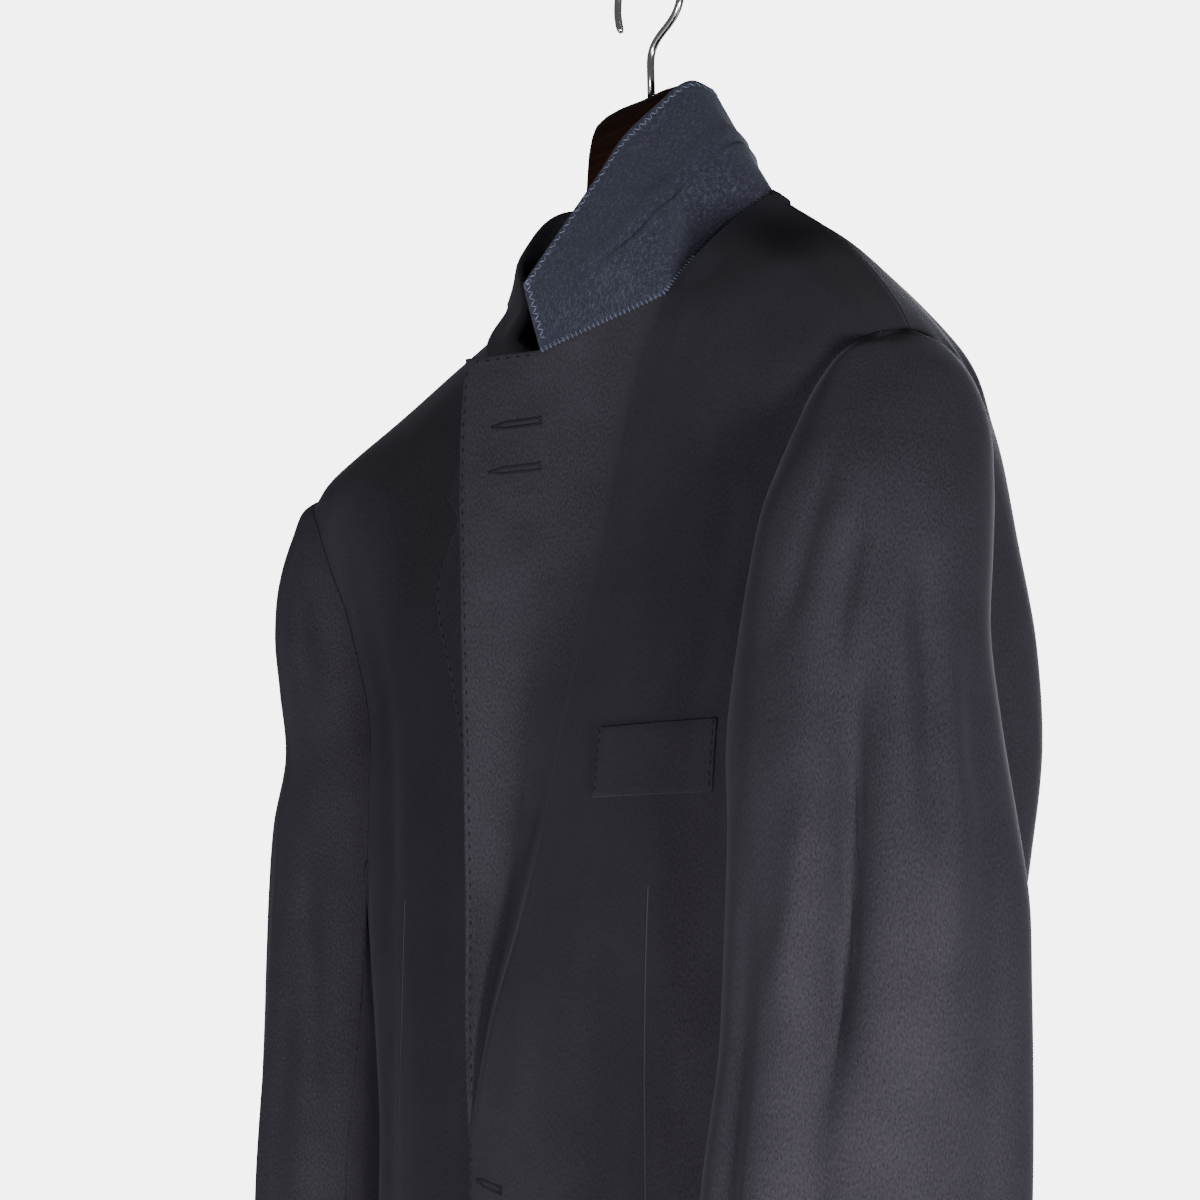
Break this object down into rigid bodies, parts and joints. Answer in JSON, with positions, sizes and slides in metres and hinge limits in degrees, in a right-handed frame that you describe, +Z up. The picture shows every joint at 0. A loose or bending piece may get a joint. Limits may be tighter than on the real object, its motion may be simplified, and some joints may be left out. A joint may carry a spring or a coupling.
{
  "type": "blazer on a hanger",
  "caption": "Unbuttoned single-breasted tailored blazer with its collar turned up on one side, hanging on a shaped wooden hanger with a metal hook.",
  "frame": {"origin": "inside of the top of the hanger's hook, where a rail holds it", "axes": "+X towards the wearer's left, +Y towards the wearer's back, +Z up"},
  "size_m": [0.5945, 0.2767, 0.8773],
  "materials": {
    "front_left": "fine matt twill",
    "front_right": "fine matt twill",
    "facing_right": "fine matt twill",
    "side_left": "fine matt twill",
    "side_right": "fine matt twill",
    "back_left": "fine matt twill",
    "back_right": "fine matt twill",
    "top_sleeve_left": "fine matt twill",
    "under_sleeve_left": "fine matt twill",
    "top_sleeve_right": "fine matt twill",
    "under_sleeve_right": "fine matt twill",
    "under_collar": "felted melton",
    "top_collar": "fine matt twill",
    "breast_welt": "fine matt twill",
    "flap_left": "fine matt twill",
    "flap_right": "fine matt twill",
    "button_upper": "satin",
    "button_lower": "satin",
    "hanger_body": "dark stain, lacquered",
    "hanger_hook": "polished"
  },
  "bodies": {
    "root": {"front_left": "front_left", "front_right": "front_right", "facing_right": "facing_right", "side_left": "side_left", "side_right": "side_right", "back_left": "back_left", "back_right": "back_right", "top_sleeve_left": "top_sleeve_left", "under_sleeve_left": "under_sleeve_left", "top_sleeve_right": "top_sleeve_right", "under_sleeve_right": "under_sleeve_right", "under_collar": "under_collar", "top_collar": "top_collar", "breast_welt": "breast_welt", "flap_left": "flap_left", "flap_right": "flap_right", "button_upper": "button_upper", "button_lower": "button_lower", "hanger_body": "hanger_body", "hanger_hook": "hanger_hook"}
  },
  "joints": []
}
